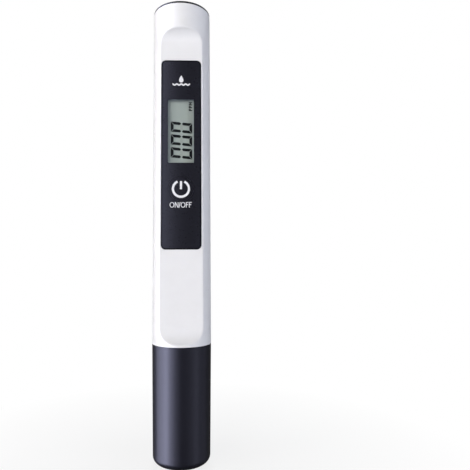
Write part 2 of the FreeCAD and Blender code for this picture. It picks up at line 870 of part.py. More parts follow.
def make_side_contact():
    """A strip from the board up past the cells to the contact plate in the battery cap."""
    body = new_body("side_contact_strip")
    foot = board_top - s.strip_contact_foot
    top = battery_plug_low - s.sheet_thickness - 2 * s.seat_gap
    front, thick = strip_contact_front, s.contact_thickness
    profile = side_sketch(body, "strip_profile", strip_contact_middle - s.strip_contact_width / 2)
    outline(profile, [
        (-front, foot), (-board_face, foot), (-board_face, foot + thick),
        (-(front - thick), foot + thick), (-(front - thick), top), (-front, top),
    ])
    pad(body, profile, s.strip_contact_width)
    return keep(body, "side_contact_strip")


# Battery cap

def make_battery_cap():
    """A round cap with a coin slot and a hollow threaded plug; the thread itself is left plain."""
    body = new_body("battery_cap")
    flange_low = housing_top + s.seat_gap
    flange_radius = housing_top_radius - s.flange_inset
    ring_low = housing_top - 2 * s.cap_ring_radius - 2 * s.seat_gap
    inner = battery_plug_radius - s.plug_wall
    rivet_hole = s.rivet_radius + s.seat_gap
    top = s.overall_length
    lead_in = s.plug_lead_in
    profile = front_sketch(body, "battery_cap_profile")
    outline(profile, [
        (0, rivet_hole_top), (rivet_hole, rivet_hole_top), (rivet_hole, battery_bore_top),
        (inner, battery_bore_top), (inner, battery_plug_low),
        (battery_plug_radius - lead_in, battery_plug_low),
        (battery_plug_radius, battery_plug_low + lead_in), (battery_plug_radius, ring_low),
        (cap_neck, ring_low), (cap_neck, flange_low), (flange_radius, flange_low),
        (flange_radius, top - s.flange_round, s.flange_round),
        (flange_radius - s.flange_round, top), (0, top),
    ])
    revolve(body, profile)
    slot = level_sketch(body, "coin_slot", top)
    rectangle(slot, 0, 0, s.coin_slot_length, s.coin_slot_width, s.flange_round)
    pocket(body, slot, s.coin_slot_depth)
    return keep(body, "battery_cap")


def make_ring(name, middle_radius, section_radius, height):
    ring = document.addObject("Part::Torus", name)
    bind(ring, Radius1=middle_radius, Radius2=section_radius)
    place(ring, 0, 0, height)
    return keep(ring, name)


def make_cap_contact_plate():
    """A hat of sheet metal: its brim meets the side strip and its crown carries the spring."""
    body = new_body("cap_contact_plate")
    sheet_metal = s.sheet_thickness
    wall_out = battery_plug_radius - s.plug_wall - 2 * s.seat_gap
    wall_in = wall_out - sheet_metal
    brim_top = battery_plug_low - s.seat_gap
    brim_low = brim_top - sheet_metal
    crown_top = battery_bore_top - s.seat_gap
    crown_low = crown_top - sheet_metal
    brim = battery_plug_radius - s.plug_wall / 2
    hole = s.rivet_radius + s.seat_gap
    profile = front_sketch(body, "contact_hat")
    outline(profile, [
        (hole, crown_low), (wall_in, crown_low), (wall_in, brim_low), (brim, brim_low),
        (brim, brim_top), (wall_out, brim_top), (wall_out, crown_top), (hole, crown_top),
    ])
    revolve(body, profile)
    return keep(body, "cap_contact_plate")


def make_contact_rivet():
    body = new_body("contact_rivet")
    head_top = battery_bore_top - 2 * s.seat_gap - s.sheet_thickness
    head_low = head_top - s.rivet_head_height
    shank_top = rivet_hole_top - s.seat_gap
    chamfer = s.rivet_head_height / 2
    profile = front_sketch(body, "rivet_profile")
    outline(profile, [
        (0, head_low), (s.rivet_head_radius - chamfer, head_low),
        (s.rivet_head_radius, head_low + chamfer), (s.rivet_head_radius, head_top),
        (s.rivet_radius, head_top), (s.rivet_radius, shank_top), (0, shank_top),
    ])
    revolve(body, profile)
    return keep(body, "contact_rivet")


def arc_from_tangent(start, tangent, end):
    """The arc that leaves start along a tangent and reaches end."""
    chord = end - start
    along = chord / chord.Length
    aside = tangent - along * tangent.dot(along)
    half_turn = tangent.getAngle(chord)
    rise = chord.Length / 2 * math.tan(half_turn / 2)
    return Part.Arc(start, start + chord / 2 + aside / aside.Length * rise, end).toShape()


def biarc(start, start_tangent, end, end_tangent):
    """Two arcs that meet smoothly between two points with given tangents."""
    chord = end - start
    both = start_tangent + end_tangent
    spread = 2 * (1 - start_tangent.dot(end_tangent))
    reach = (math.sqrt(chord.dot(both) ** 2 + spread * chord.dot(chord)) - chord.dot(both)) / spread
    middle = (start + end + (start_tangent - end_tangent) * reach) / 2
    last = arc_from_tangent(end, -end_tangent, middle)
    return [arc_from_tangent(start, start_tangent, middle), last]


def cone_coil_point(share):
    """Place and direction on the conical spring's centre line, from its low end at share 0."""
    low_z = cell_top + s.seat_gap + s.spring_wire_radius
    high_z = battery_bore_top - s.sheet_thickness - 2 * s.seat_gap - s.spring_wire_radius
    rise = number(high_z - low_z)
    spread = number(s.spring_high_radius - s.spring_low_radius)
    sweep = 2 * math.pi * number(s.spring_turns)
    angle = sweep * share
    radius = number(s.spring_low_radius) + spread * share
    point = FreeCAD.Vector(radius * math.cos(angle), radius * math.sin(angle),
                           number(low_z) + rise * share)
    tangent = FreeCAD.Vector(spread * math.cos(angle) - radius * sweep * math.sin(angle),
                             spread * math.sin(angle) + radius * sweep * math.cos(angle), rise)
    return point, tangent / tangent.Length


def least_coil_gap():
    """The least gap between one turn of the spring and the others, measured on points."""
    steps_per_turn = 36
    turns = number(s.spring_turns)
    count = int(steps_per_turn * turns)
    points = [cone_coil_point(index / count)[0] for index in range(count + 1)]
    gap = min((points[i] - points[j]).Length for i in range(count + 1)
              for j in range(i + steps_per_turn // 2, count + 1))
    return gap - 2 * number(s.spring_wire_radius)


def tube_piece(edge, radius):
    """The round rod along one straight or circular edge."""
    first, last = edge.FirstParameter, edge.LastParameter
    start, end = edge.valueAt(first), edge.valueAt(last)
    disc = Part.Face(Part.Wire(Part.makeCircle(number(radius), start, edge.tangentAt(first))))
    if isinstance(edge.Curve, Part.Line):
        return disc.extrude(end - start)
    return disc.revolve(edge.Curve.Center, edge.Curve.Axis, math.degrees(last - first))


def tube(edges, radius):
    pieces = [tube_piece(edge, radius) for edge in edges]
    return pieces[0].multiFuse(pieces[1:]).removeSplitter()


def make_contact_spring():
    """A conical spring that presses the cells down when the battery cap is closed."""
    half_turns = round(2 * number(s.spring_turns))
    edges = []
    for index in range(half_turns):
        here = cone_coil_point(index / half_turns)
        there = cone_coil_point((index + 1) / half_turns)
        edges += biarc(*here, *there)
    spring = document.addObject("Part::Feature", "contact_spring")
    spring.Shape = tube(edges, s.spring_wire_radius)
    print("contact_spring least gap between turns", round(least_coil_gap(), 3))
    return keep(spring, "contact_spring")


# Probe end

def make_probe_holder():
    """A D-shaped plug, a round neck and a slotted guard around the two probes."""
    body = new_body("probe_holder")
    guard_in = s.guard_radius - s.guard_wall
    shoulder = housing_low - s.seat_gap
    tip_round = s.guard_tip_round
    turned = front_sketch(body, "holder_profile")
    outline(turned, [
        (0, neck_low), (guard_in, neck_low), (guard_in, guard_low + tip_round),
        (guard_in + tip_round, guard_low), (s.guard_radius - tip_round, guard_low),
        (s.guard_radius, guard_low + tip_round), (s.guard_radius, neck_low - tip_round),
        (neck_radius, neck_low), (neck_radius, shoulder), (0, shoulder),
    ])
    revolve(body, turned)
    plug = level_sketch(body, "holder_plug", shoulder)
    flatted_circle(plug, holder_plug_radius, holder_flat)
    pad(body, plug, plug_top - shoulder)
    core = level_sketch(body, "holder_core", plug_top)
    flatted_circle(core, holder_plug_radius - s.core_wall, holder_flat - s.core_wall)
    pocket(body, core, s.core_depth)
    seal_top = plug_top - s.seal_drop
    seal_groove = level_sketch(body, "seal_groove", seal_top + s.seat_gap)
    circle(seal_groove, 0, 0, s.seam_radius)
    flatted_circle(seal_groove, holder_plug_radius - s.seal_depth - s.seat_gap,
                   holder_flat - s.seal_depth - s.seat_gap)
    pocket(body, seal_groove, s.seal_width + 2 * s.seat_gap)
    ring_middle = housing_low - s.neck_ring_drop
    ring_floor = neck_ring_middle - s.neck_ring_radius - s.seat_gap / 2
    ring_groove = front_sketch(body, "ring_groove")
    half = s.neck_ring_radius + 2 * s.seat_gap
    outline(ring_groove, [
        (ring_floor, ring_middle - half), (s.seam_radius, ring_middle - half),
        (s.seam_radius, ring_middle + half), (ring_floor, ring_middle + half),
    ])
    groove(body, ring_groove)
    slot_top = neck_low - s.guard_slot_stop
    slot_length = slot_top - guard_low + s.guard_slot_overrun
    across = front_sketch(body, "guard_slot_front", s.seam_radius)
    rectangle(across, 0, slot_top - slot_length / 2, s.guard_slot_width, slot_length,
              s.guard_slot_corner)
    pocket(body, across, 2 * s.seam_radius)
    beside = side_sketch(body, "guard_slot_side", s.seam_radius)
    rectangle(beside, 0, slot_top - slot_length / 2, s.guard_slot_width, slot_length,
              s.guard_slot_corner)
    pocket(body, beside, 2 * s.seam_radius)
    probe_holes = level_sketch(body, "probe_holes", core_floor)
    for side in (-1, 1):
        circle(probe_holes, side * s.probe_offset, 0, s.probe_radius + s.probe_play)
    pocket(body, probe_holes, core_floor - neck_low)
    sensor_hole = level_sketch(body, "sensor_hole", core_floor)
    circle(sensor_hole, 0, s.sensor_offset, s.sensor_radius + s.probe_play)
    pocket(body, sensor_hole, core_floor - neck_low - s.sensor_floor)
    return keep(body, "probe_holder")


def make_holder_seal():
    """A flexible ring of D shape in the plug's groove."""
    body = new_body("holder_seal")
    seal = level_sketch(body, "seal_outline", plug_top - s.seal_drop - s.seal_width)
    flatted_circle(seal, bore - s.seat_gap / 2, bore_flat - s.seat_gap / 2)
    flatted_circle(seal, holder_plug_radius - s.seal_depth, holder_flat - s.seal_depth)
    pad(body, seal, s.seal_width)
    return keep(body, "holder_seal")


def make_probe_pins():
    """Round-ended metal probes, each with a head that rests on the holder's floor."""
    tip = guard_low + s.probe_tip_gap
    head_low = core_floor + s.seat_gap
    head_top = head_low + s.probe_head_height
    top = head_top + s.probe_tail
    for name, side in (("probe_pin_left", -1), ("probe_pin_right", 1)):
        body = new_body(name)
        profile = front_sketch(body, name + "_profile")
        round_end = s.probe_radius - s.probe_tip_flat
        outline(profile, [
            (0, tip), (s.probe_tip_flat, tip, round_end), (s.probe_radius, tip + round_end),
            (s.probe_radius, head_low), (s.probe_head_radius, head_low),
            (s.probe_head_radius, head_top), (s.probe_radius, head_top),
            (s.probe_radius, top), (0, top),
        ])
        revolve(body, profile)
        place(body, side * s.probe_offset)
        keep(body, name)


def make_temperature_sensor():
    """A sleeved bead in a blind hole of the holder, close to the water."""
    body = new_body("temperature_sensor")
    low = neck_low + s.sensor_floor + s.seat_gap
    top = core_floor + s.sensor_tail
    profile = front_sketch(body, "sensor_profile")
    round_end = s.sensor_radius - s.sensor_tip_flat
    outline(profile, [
        (0, low), (s.sensor_tip_flat, low, round_end), (s.sensor_radius, low + round_end),
        (s.sensor_radius, top), (0, top),
    ])
    revolve(body, profile)
    place(body, 0, -s.sensor_offset)
    return keep(body, "temperature_sensor")


BEND_SHARE = 0.45


def routed_wire(points, radius):
    """A tube along straight runs joined by tangent arcs as wide as the runs allow."""
    runs = [after - before for before, after in zip(points, points[1:])]
    edges = []
    start = points[0]
    for corner, before, after in zip(points[1:], runs, runs[1:]):
        cut = BEND_SHARE * min(before.Length, after.Length)
        arc_start = corner - before / before.Length * cut
        arc_end = corner + after / after.Length * cut
        edges.append(Part.LineSegment(start, arc_start).toShape())
        edges.append(arc_from_tangent(arc_start, before / before.Length, arc_end))
        start = arc_end
    edges.append(Part.LineSegment(start, points[-1]).toShape())
    return tube(edges, radius)


def make_probe_wires():
    """Four leads, from the probes and the sensor to pads low on the board's rear face."""
    pin_top = number(core_floor + 2 * s.seat_gap + s.probe_head_height + s.probe_tail)
    sensor_top = number(core_floor + s.seat_gap + s.sensor_tail)
    pad_low = number(board_low + s.pad_rise)
    pad_high = pad_low + number(s.pad_length)
    middle = (number(plug_top) + pad_low) / 2
    leads = []
    for side in (-1, 1):
        pad_y = -number(board_rear - s.seat_gap - s.lead_radius)
        across = side * number(s.probe_offset)
        leads.append(routed_wire([
            FreeCAD.Vector(across, 0, pin_top),
            FreeCAD.Vector(across, 0, middle - number(s.lead_low_run)),
            FreeCAD.Vector(across, number(s.lead_belly), middle),
            FreeCAD.Vector(across, pad_y, pad_low),
            FreeCAD.Vector(across, pad_y, pad_high)], s.lead_radius))
        pad_y = -number(board_rear - s.seat_gap - s.sensor_lead_radius)
        across, sensor_y = side * number(s.lead_radius) * 2, number(s.sensor_offset)
        leads.append(routed_wire([
            FreeCAD.Vector(across, sensor_y, sensor_top),
            FreeCAD.Vector(across, sensor_y, middle - number(s.sensor_lead_low_run)),
            FreeCAD.Vector(across, pad_y, pad_low),
            FreeCAD.Vector(across, pad_y, pad_high)], s.sensor_lead_radius))
    wires = document.addObject("Part::Feature", "probe_wires")
    wires.Shape = Part.makeCompound(leads)
    return keep(wires, "probe_wires")


# Protective cap

def make_protective_cap():
    """A drafted cup that covers the probes and meets the housing at the seam."""
    body = new_body("protective_cap")
    straight_low = s.seam_height - s.cap_straight
    base_radius = s.seam_radius - s.cap_taper
    inner_round = s.cap_inner_fillet
    profile = front_sketch(body, "cap_profile")
    outline(profile, [
        (0, 0), (base_radius - s.base_fillet, 0, s.base_fillet),
        (base_radius, s.base_fillet), (s.seam_radius, s.seam_height),
        (cap_bore + s.cap_lead_in, s.seam_height),
        (cap_bore, s.seam_height - 2 * s.cap_lead_in), (cap_bore, straight_low),
        (cap_base_bore, s.cap_floor + inner_round, -inner_round),
        (cap_base_bore - inner_round, s.cap_floor), (0, s.cap_floor),
    ])
    revolve(body, profile)
    return keep(body, "protective_cap")


make_housing()
make_front_panel()
make_display_window()
make_glass_plates()
make_connector_strips()
make_display_frame()
make_main_board()
make_chips()
make_small_components()
make_clock_crystal()
make_switch_body()
make_switch_plunger()
make_power_key()
make_inner_frame()
make_board_screws()
make_button_cells()
make_well_contact()
make_side_contact()
make_battery_cap()
make_ring("cap_oring", cap_ring_middle, s.cap_ring_radius,
          housing_top - s.cap_ring_radius - s.seat_gap / 2)
make_cap_contact_plate()
make_contact_rivet()
make_contact_spring()
make_probe_holder()
make_holder_seal()
make_ring("neck_oring", neck_ring_middle, s.neck_ring_radius,
          housing_low - s.neck_ring_drop)
make_probe_pins()
make_temperature_sensor()
make_probe_wires()
make_protective_cap()
document.recompute()

faults = [item.Name for item in document.Objects
          if "Invalid" in item.State or "Error" in item.State]
for node in nodes:
    if node.Shape.isNull() or not node.Shape.isValid():
        faults.append(node.Label)
if faults:
    raise SystemExit("failed objects: " + ", ".join(faults))

os.makedirs("parts", exist_ok=True)
for node in nodes:
    node.Shape.exportStep(f"parts/{node.Label}.step")
    box = node.Shape.BoundBox
    print(f"{node.Label:22s} solids {len(node.Shape.Solids):2d} volume {node.Shape.Volume:9.2f}"
          f"  x {box.XMin:7.2f} {box.XMax:7.2f}  y {box.YMin:7.2f} {box.YMax:7.2f}"
          f"  z {box.ZMin:7.2f} {box.ZMax:7.2f}")
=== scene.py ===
import json
import math

import bmesh
import bpy
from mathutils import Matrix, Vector


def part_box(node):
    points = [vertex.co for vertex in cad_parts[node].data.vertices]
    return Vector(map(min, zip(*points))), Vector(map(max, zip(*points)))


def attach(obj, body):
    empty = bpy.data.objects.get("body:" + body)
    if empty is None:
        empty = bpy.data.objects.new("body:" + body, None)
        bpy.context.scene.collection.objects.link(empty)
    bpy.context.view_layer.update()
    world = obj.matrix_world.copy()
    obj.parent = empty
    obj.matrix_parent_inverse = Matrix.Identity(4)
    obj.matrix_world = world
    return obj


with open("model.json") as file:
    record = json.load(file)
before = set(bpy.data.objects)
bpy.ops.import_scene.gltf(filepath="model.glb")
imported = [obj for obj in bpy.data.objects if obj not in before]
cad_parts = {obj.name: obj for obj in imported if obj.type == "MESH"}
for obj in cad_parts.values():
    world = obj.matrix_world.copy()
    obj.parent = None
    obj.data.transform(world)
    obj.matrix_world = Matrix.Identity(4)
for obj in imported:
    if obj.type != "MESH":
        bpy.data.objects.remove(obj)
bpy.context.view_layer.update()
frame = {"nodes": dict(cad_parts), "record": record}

# Marks, reliefs and the thread are in mm; the floor, the lamps and the camera are in metres
MM = 0.001
SLOT_OF = {part["node"]: part["material_slot"] for part in frame["record"]["subparts"]}

# Noise scales per metre: soft blotches, fine grain, and the long waves that moulding leaves
BLOTCH, GRAIN, PEEL = 350, 9000, 420
# The range that most of a noise texture's values lie in
NOISE_LOW, NOISE_HIGH = 0.3, 0.7
PLASTIC_IOR = 1.46


# Node helpers

def new_material(name):
    """A material with an empty node tree but for its output and one shader."""
    material = bpy.data.materials.new(name)
    material.use_nodes = True
    tree = material.node_tree
    tree.nodes.clear()
    output = tree.nodes.new("ShaderNodeOutputMaterial")
    shader = tree.nodes.new("ShaderNodeBsdfPrincipled")
    tree.links.new(shader.outputs["BSDF"], output.inputs["Surface"])
    return material, tree, shader, output


def node(tree, kind, **settings):
    """A node of one kind, with its settings such as operation or blend_type."""
    made = tree.nodes.new(kind)
    for key, value in settings.items():
        setattr(made, key, value)
    return made


def feed(tree, socket, value):
    """Links an input to another node's socket, or sets it to a plain value."""
    if isinstance(value, bpy.types.NodeSocket):
        tree.links.new(value, socket)
    else:
        socket.default_value = value


def computed(tree, operation, first, second):
    """The result of one sum of two sockets or numbers."""
    made = node(tree, "ShaderNodeMath", operation=operation)
    feed(tree, made.inputs[0], first)
    feed(tree, made.inputs[1], second)
    return made.outputs[0]


def blended(tree, factor, first, second, blend_type="MIX"):
    """Two colours mixed by a factor, or combined in the way that blend_type names."""
    made = node(tree, "ShaderNodeMix", data_type="RGBA", blend_type=blend_type)
    feed(tree, made.inputs["Factor"], factor)
    feed(tree, made.inputs["A"], first)
    feed(tree, made.inputs["B"], second)
    return made.outputs["Result"]


def mixed_shaders(tree, output, factor, first, second):
    """Mixes two shaders by a factor into a material's or the world's output."""
    made = node(tree, "ShaderNodeMixShader")
    for source, socket in zip((factor, first, second), made.inputs):
        tree.links.new(source, socket)
    tree.links.new(made.outputs["Shader"], output.inputs["Surface"])


def object_axes(tree):
    """The object's own X, Y and Z in metres, as separate sockets."""
    place = node(tree, "ShaderNodeTexCoord")
    split = node(tree, "ShaderNodeSeparateXYZ")
    tree.links.new(place.outputs["Object"], split.inputs["Vector"])
    return split.outputs


def steepness(tree):
    """0 on a face seen square on, rising to 1 on a face seen edge on."""
    facing = node(tree, "ShaderNodeLayerWeight")
    facing.inputs["Blend"].default_value = 0.5
    return facing.outputs["Facing"]


def noise(tree, scale, detail=3.0, stretch=(1, 1, 1)):
    """Noise with features about 1/scale metres across, drawn out along an axis by stretch."""
    place = node(tree, "ShaderNodeTexCoord")
    mapping = node(tree, "ShaderNodeMapping")
    mapping.inputs["Scale"].default_value = stretch
    tree.links.new(place.outputs["Object"], mapping.inputs["Vector"])
    made = node(tree, "ShaderNodeTexNoise")
    made.inputs["Scale"].default_value = scale
    made.inputs["Detail"].default_value = detail
    made.inputs["Roughness"].default_value = 0.5
    tree.links.new(mapping.outputs["Vector"], made.inputs["Vector"])
    return made.outputs["Fac"]


def spread(tree, source, low, high, start=NOISE_LOW, end=NOISE_HIGH):
    """Maps a value from start..end onto low..high, and holds it there outside."""
    ranged = node(tree, "ShaderNodeMapRange")
    ranged.inputs["From Min"].default_value = start
    ranged.inputs["From Max"].default_value = end
    ranged.inputs["To Min"].default_value = low
    ranged.inputs["To Max"].default_value = high
    tree.links.new(source, ranged.inputs["Value"])
    return ranged.outputs["Result"]


def two_colours(tree, source, first, second):
    """Fades from the first colour to the second over the range of a noise texture."""
    ramp = node(tree, "ShaderNodeValToRGB")
    stops = ((NOISE_LOW, first), (NOISE_HIGH, second))
    for element, (position, colour) in zip(ramp.color_ramp.elements, stops):
        element.position = position
        element.color = (*colour, 1)
    tree.links.new(source, ramp.inputs["Fac"])
    return ramp.outputs["Color"]


def bump(tree, source, depth, under=None):
    """Relief of a depth in mm, laid over another relief if one is given."""
    made = node(tree, "ShaderNodeBump")
    made.inputs["Strength"].default_value = 1.0
    made.inputs["Distance"].default_value = depth * MM
    tree.links.new(source, made.inputs["Height"])
    if under is not None:
        tree.links.new(under, made.inputs["Normal"])
    return made.outputs["Normal"]


# Finishes

def surface(name, colours, gloss, metal=0.0, specular=0.5, grain=GRAIN, relief=0.002, peel=0.0,
            stretch=(1, 1, 1), blotch=BLOTCH):
    """A finish: two near colours in soft blotches, uneven gloss, fine relief and moulding waves."""
    material, tree, shader, _ = new_material(name)
    link = tree.links.new
    link(two_colours(tree, noise(tree, blotch), *colours), shader.inputs["Base Color"])
    link(spread(tree, noise(tree, blotch * 4, 4.0, stretch), *gloss), shader.inputs["Roughness"])
    shader.inputs["Metallic"].default_value = metal
    shader.inputs["Specular IOR Level"].default_value = specular
    shader.inputs["IOR"].default_value = PLASTIC_IOR
    shape = bump(tree, noise(tree, grain, 2.0, stretch), relief)
    if peel:
        shape = bump(tree, noise(tree, PEEL, 1.0), peel, under=shape)
    link(shape, shader.inputs["Normal"])
    return material


def domed_film(name, colours, gloss, specular, dome):
    """The panel's film: gloss over black, shaded as if laid with its middle dome mm proud."""
    material, tree, shader, _ = new_material(name)
    link = tree.links.new
    link(two_colours(tree, noise(tree, BLOTCH), *colours), shader.inputs["Base Color"])
    link(spread(tree, noise(tree, BLOTCH * 4, 4.0), *gloss), shader.inputs["Roughness"])
    # Seen steeply it mirrors a tenth as much, so that it stays dark from the side
    link(spread(tree, steepness(tree), specular, specular * 0.1, 0.15, 0.45),
         shader.inputs["Specular IOR Level"])
    low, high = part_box("front_panel")
    across = computed(tree, "DIVIDE", object_axes(tree)["X"], (high[0] - low[0]) / 2)
    shape = bump(tree, computed(tree, "MULTIPLY", across, across), -dome)
    link(bump(tree, noise(tree, GRAIN, 2.0), 0.00015, under=shape), shader.inputs["Normal"])
    return material


def circuit_board():
    """Green solder mask over copper traces, seen as slightly raised and lighter runs."""
    trace_scale, trace_width, trace_height = 420, 0.09, 0.03
    material, tree, shader, _ = new_material("circuit_board")
    link = tree.links.new
    place = node(tree, "ShaderNodeTexCoord")
    turned = node(tree, "ShaderNodeMapping")
    turned.inputs["Rotation"].default_value = (math.pi / 2, 0, 0)
    link(place.outputs["Object"], turned.inputs["Vector"])
    runs = node(tree, "ShaderNodeTexBrick")
    runs.inputs["Scale"].default_value = trace_scale
    runs.inputs["Mortar Size"].default_value = trace_width
    runs.inputs["Color1"].default_value = (0, 0, 0, 1)
    runs.inputs["Color2"].default_value = (0, 0, 0, 1)
    runs.inputs["Mortar"].default_value = (1, 1, 1, 1)
    link(turned.outputs["Vector"], runs.inputs["Vector"])
    link(two_colours(tree, runs.outputs["Color"], (0.008, 0.075, 0.03), (0.02, 0.16, 0.06)),
         shader.inputs["Base Color"])
    link(spread(tree, noise(tree, 1500), 0.25, 0.42), shader.inputs["Roughness"])
    link(bump(tree, runs.outputs["Color"], trace_height), shader.inputs["Normal"])
    return material


def display_glass():
    """The display: grey-green, darker towards the right by painted light that fades from its left,
    and with painted shade along its right and top.
    """
    shade_start, right_end, top_end = 1.5 * MM, 0.4 * MM, 0.3 * MM
    left_painted_light, right_painted_light = 1.0, 0.80
    material, tree, shader, _ = new_material("lcd_glass")
    link = tree.links.new
    low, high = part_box("display_window")
    axes = object_axes(tree)
    right = spread(tree, axes["X"], 0, 1, high[0] - shade_start, high[0] - right_end)
    top = spread(tree, axes["Z"], 0, 1, high[2] - shade_start, high[2] - top_end)
    tint = two_colours(tree, noise(tree, 2500, 5.0), (0.426, 0.462, 0.440), (0.436, 0.473, 0.450))
    # Painted light: the colour is full at the left and falls to four fifths at the right, offsetting
    # the shade that the recess casts on the left
    light = spread(tree, axes["X"], left_painted_light, right_painted_light, low[0], high[0])
    tint_with_painted_light = blended(tree, 1.0, tint, light, blend_type="MULTIPLY")
    # Painted shade: the colour darkens along the right and top edges, standing in for the shade of
    # the film's edge there
    edge = computed(tree, "MAXIMUM", right, top)
    link(blended(tree, edge, tint_with_painted_light, (0.24, 0.27, 0.29, 1)), shader.inputs["Base Color"])
    link(spread(tree, noise(tree, 1800), 0.4, 0.5), shader.inputs["Roughness"])
    shader.inputs["Specular IOR Level"].default_value = 0.1
    link(bump(tree, noise(tree, 30000, 1.0), 0.0006), shader.inputs["Normal"])
    return material


def clear_lens():
    """A clear hard window: light passes straight through but for a thin reflection."""
    square_on, edge_on, rise = 0.01, 0.1, 4
    material, tree, shader, output = new_material("clear_window")
    link = tree.links.new
    shader.inputs["Base Color"].default_value = (0.9, 0.93, 0.93, 1)
    shader.inputs["Metallic"].default_value = 1.0
    link(spread(tree, noise(tree, 900), 0.08, 0.12), shader.inputs["Roughness"])
    link(bump(tree, noise(tree, 260, 1.0), 0.002), shader.inputs["Normal"])
    through = node(tree, "ShaderNodeBsdfTransparent")
    through.inputs["Color"].default_value = (0.97, 0.985, 0.98, 1)
    steep = computed(tree, "POWER", steepness(tree), rise)
    mixed_shaders(tree, output, spread(tree, steep, square_on, edge_on, 0, 1),
                  through.outputs["BSDF"], shader.outputs["BSDF"])
    return material


def ink(name, colour, gloss=(0.35, 0.45), specular=0.4):
    """Print and thin layers: one colour with a slightly darker one in fine blotches."""
    return surface(name, (colour, tuple(c * 0.93 for c in colour)), gloss, specular=specular,
                   grain=16000, relief=0.0006, blotch=2500)


# Materials by slot

WHITE = ((0.81, 0.815, 0.83), (0.795, 0.80, 0.815))
BLACK = ((0.0068, 0.0068, 0.0105), (0.006, 0.006, 0.0095))
FILM_BLACK = ((0.0045, 0.0045, 0.0075), (0.004, 0.004, 0.0065))

materials = {
    "white_plastic": surface("white_plastic", WHITE, (0.27, 0.33), specular=0.25, peel=0.002,
                             relief=0.0004),
    "black_plastic": surface("black_plastic", BLACK, (0.31, 0.35), specular=0.2, peel=0.002,
                             relief=0.0004),
    "black_panel": domed_film("black_panel", FILM_BLACK, (0.27, 0.30), specular=0.3, dome=0.32),
    "clear_window": clear_lens(),
    "lcd_glass": display_glass(),
    "reflector_foil": surface("reflector_foil", ((0.60, 0.64, 0.61), (0.55, 0.59, 0.56)),
                              (0.4, 0.5), metal=1.0, stretch=(1, 1, 0.1)),
    "soft_rubber": surface("soft_rubber", ((0.018, 0.018, 0.019), (0.026, 0.026, 0.027)),
                           (0.55, 0.7), relief=0.006, grain=5000),
    "seal_silicone": surface("seal_silicone", ((0.42, 0.06, 0.035), (0.34, 0.045, 0.028)),
                             (0.4, 0.5), relief=0.003),
    "frame_plastic": surface("frame_plastic", ((0.035, 0.035, 0.04), (0.045, 0.045, 0.05)),
                             (0.45, 0.6), relief=0.006, grain=6000),
    "circuit_board": circuit_board(),
    "chip_resin": surface("chip_resin", ((0.014, 0.014, 0.015), (0.02, 0.02, 0.021)), (0.5, 0.65),
                          relief=0.004, grain=12000),
    "nickel_metal": surface("nickel_metal", ((0.62, 0.59, 0.54), (0.55, 0.52, 0.47)), (0.2, 0.36),
                            metal=1.0, relief=0.0015, stretch=(1, 1, 0.15)),
    "cell_steel": surface("cell_steel", ((0.66, 0.66, 0.66), (0.58, 0.58, 0.58)), (0.18, 0.32),
                          metal=1.0, relief=0.001, stretch=(0.15, 1, 1)),
    "brass_metal": surface("brass_metal", ((0.70, 0.50, 0.20), (0.60, 0.41, 0.15)), (0.22, 0.35),
                           metal=1.0, relief=0.001),
    "holder_plastic": surface("holder_plastic", ((0.016, 0.016, 0.019), (0.021, 0.021, 0.024)),
                              (0.38, 0.5), relief=0.003, grain=7000, peel=0.003),
    "probe_steel": surface("probe_steel", ((0.68, 0.66, 0.62), (0.62, 0.60, 0.56)), (0.14, 0.24),
                           metal=1.0, relief=0.0008, stretch=(1, 1, 0.08)),
    "sensor_resin": surface("sensor_resin", ((0.045, 0.032, 0.022), (0.03, 0.022, 0.016)),
                            (0.2, 0.32), relief=0.002, peel=0.01),
    "wire_insulation": surface("wire_insulation", ((0.42, 0.022, 0.015), (0.36, 0.018, 0.012)),
                               (0.28, 0.4), relief=0.002),
}

for name, item in frame["nodes"].items():
    for slot in item.material_slots:
        slot.material = materials[SLOT_OF[name]]

print_white = ink("print_white", (0.80, 0.81, 0.83))
segment_ink = ink("segment_ink", (0.003, 0.0035, 0.004), gloss=(0.45, 0.55), specular=0.05)
ghost_ink = ink("ghost_ink", (0.365, 0.395, 0.365), gloss=(0.45, 0.55), specular=0.05)
# A near-black ink for the painted shade along the film's edge
edge_shade_ink = ink("edge_shade_ink", (0.0015, 0.0015, 0.002), specular=0.1)


# Flat printed and displayed marks, drawn in the x-z plane

def add_piece(name, vertices, faces, material, body):
    """A closed mesh from points in mm, its faces turned outward, that rides on a body."""
    mesh = bpy.data.meshes.new(name)
    mesh.from_pydata([(x * MM, y * MM, z * MM) for x, y, z in vertices], [], faces)
    mesh.materials.append(material)
    mesh.validate()
    piece = bpy.data.objects.new(name, mesh)
    bpy.context.collection.objects.link(piece)
    shell = bmesh.new()
    shell.from_mesh(mesh)
    bmesh.ops.recalc_face_normals(shell, faces=shell.faces)
    shell.to_mesh(mesh)
    shell.free()
    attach(piece, body)


def plate(name, outlines, front, thickness, material, body, holes=()):
    """Thin closed plates from the depth front; holes are pairs of an outer and an inner outline."""
    vertices, faces = [], []
    for outline in outlines:
        count, first = len(outline), len(vertices)
        for depth in (front, front + thickness):
            vertices += [(x, depth, z) for x, z in outline]
        faces.append(tuple(range(first, first + count)))
        faces.append(tuple(range(first + 2 * count - 1, first + count - 1, -1)))
        for i in range(count):
            j = (i + 1) % count
            faces.append((first + i, first + count + i, first + count + j, first + j))
    for outer, inner in holes:
        count, first = len(outer), len(vertices)
        for depth in (front, front + thickness):
            vertices += [(x, depth, z) for x, z in outer + inner]
        whole = 2 * count
        for i in range(count):
            j = (i + 1) % count
            a, b, c, d = first + i, first + j, first + count + j, first + count + i
            faces.append((a, b, c, d))
            faces.append((d + whole, c + whole, b + whole, a + whole))
            faces.append((a + whole, b + whole, b, a))
            faces.append((d, c, c + whole, d + whole))
    add_piece(name, vertices, faces, material, body)


def rectangle(left, low, right, high):
    """Four corners, from the lower left one round by the lower right."""
    return [(left, low), (right, low), (right, high), (left, high)]


